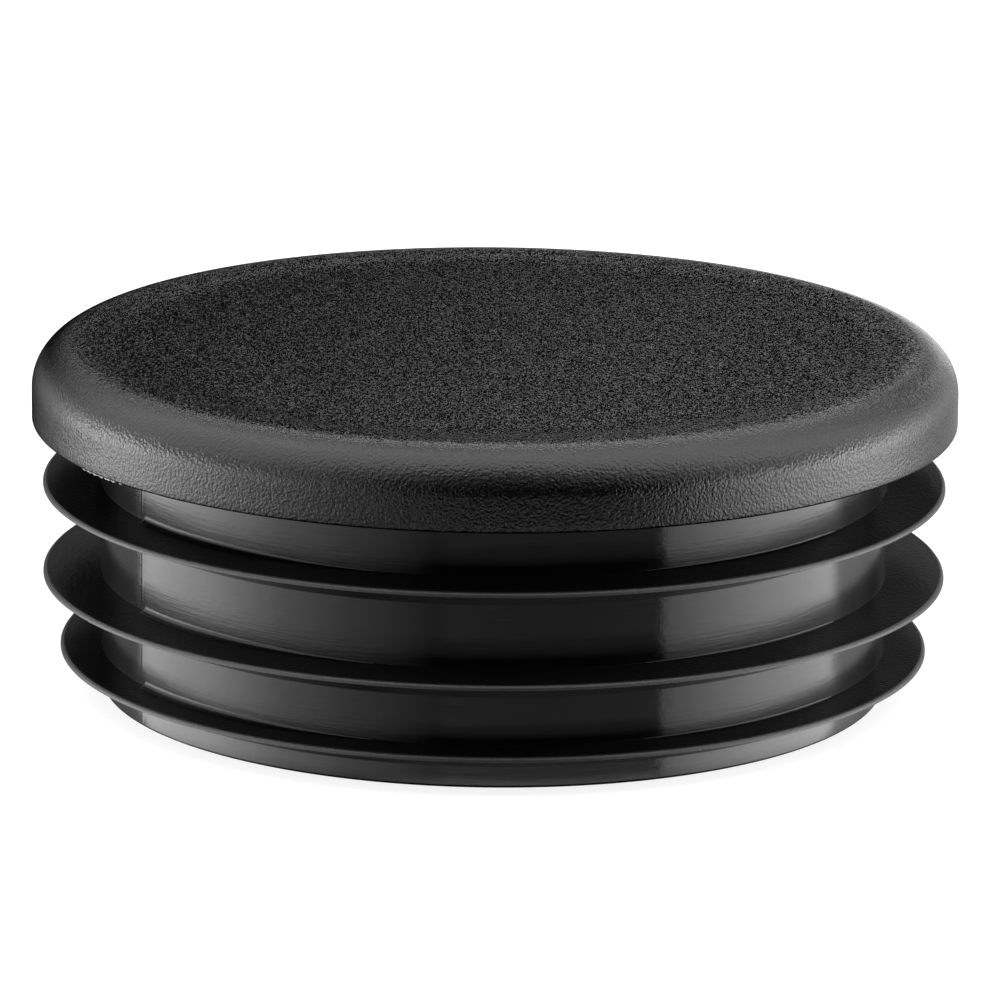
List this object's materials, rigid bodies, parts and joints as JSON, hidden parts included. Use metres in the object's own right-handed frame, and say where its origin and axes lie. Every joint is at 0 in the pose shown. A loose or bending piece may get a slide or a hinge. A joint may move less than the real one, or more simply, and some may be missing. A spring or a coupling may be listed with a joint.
{
  "type": "round ribbed tube end cap",
  "caption": "Round ribbed plug that closes the end of a tube: a textured disc head with a rounded edge over a hollow finned barrel.",
  "frame": {"origin": "centre of the barrel's open end, on the surface that the cap stands on", "axes": "+Z along the cap's axis, from the open end to the head; the cap is a body of revolution, so X and Y are free"},
  "size_m": [0.06, 0.06, 0.0226],
  "materials": {
    "black_polyethylene": "black polyethylene, fine spark-eroded grain on the head, smooth and glossy on the barrel and fins"
  },
  "bodies": {
    "root": {"end_cap": "black_polyethylene"}
  },
  "joints": []
}
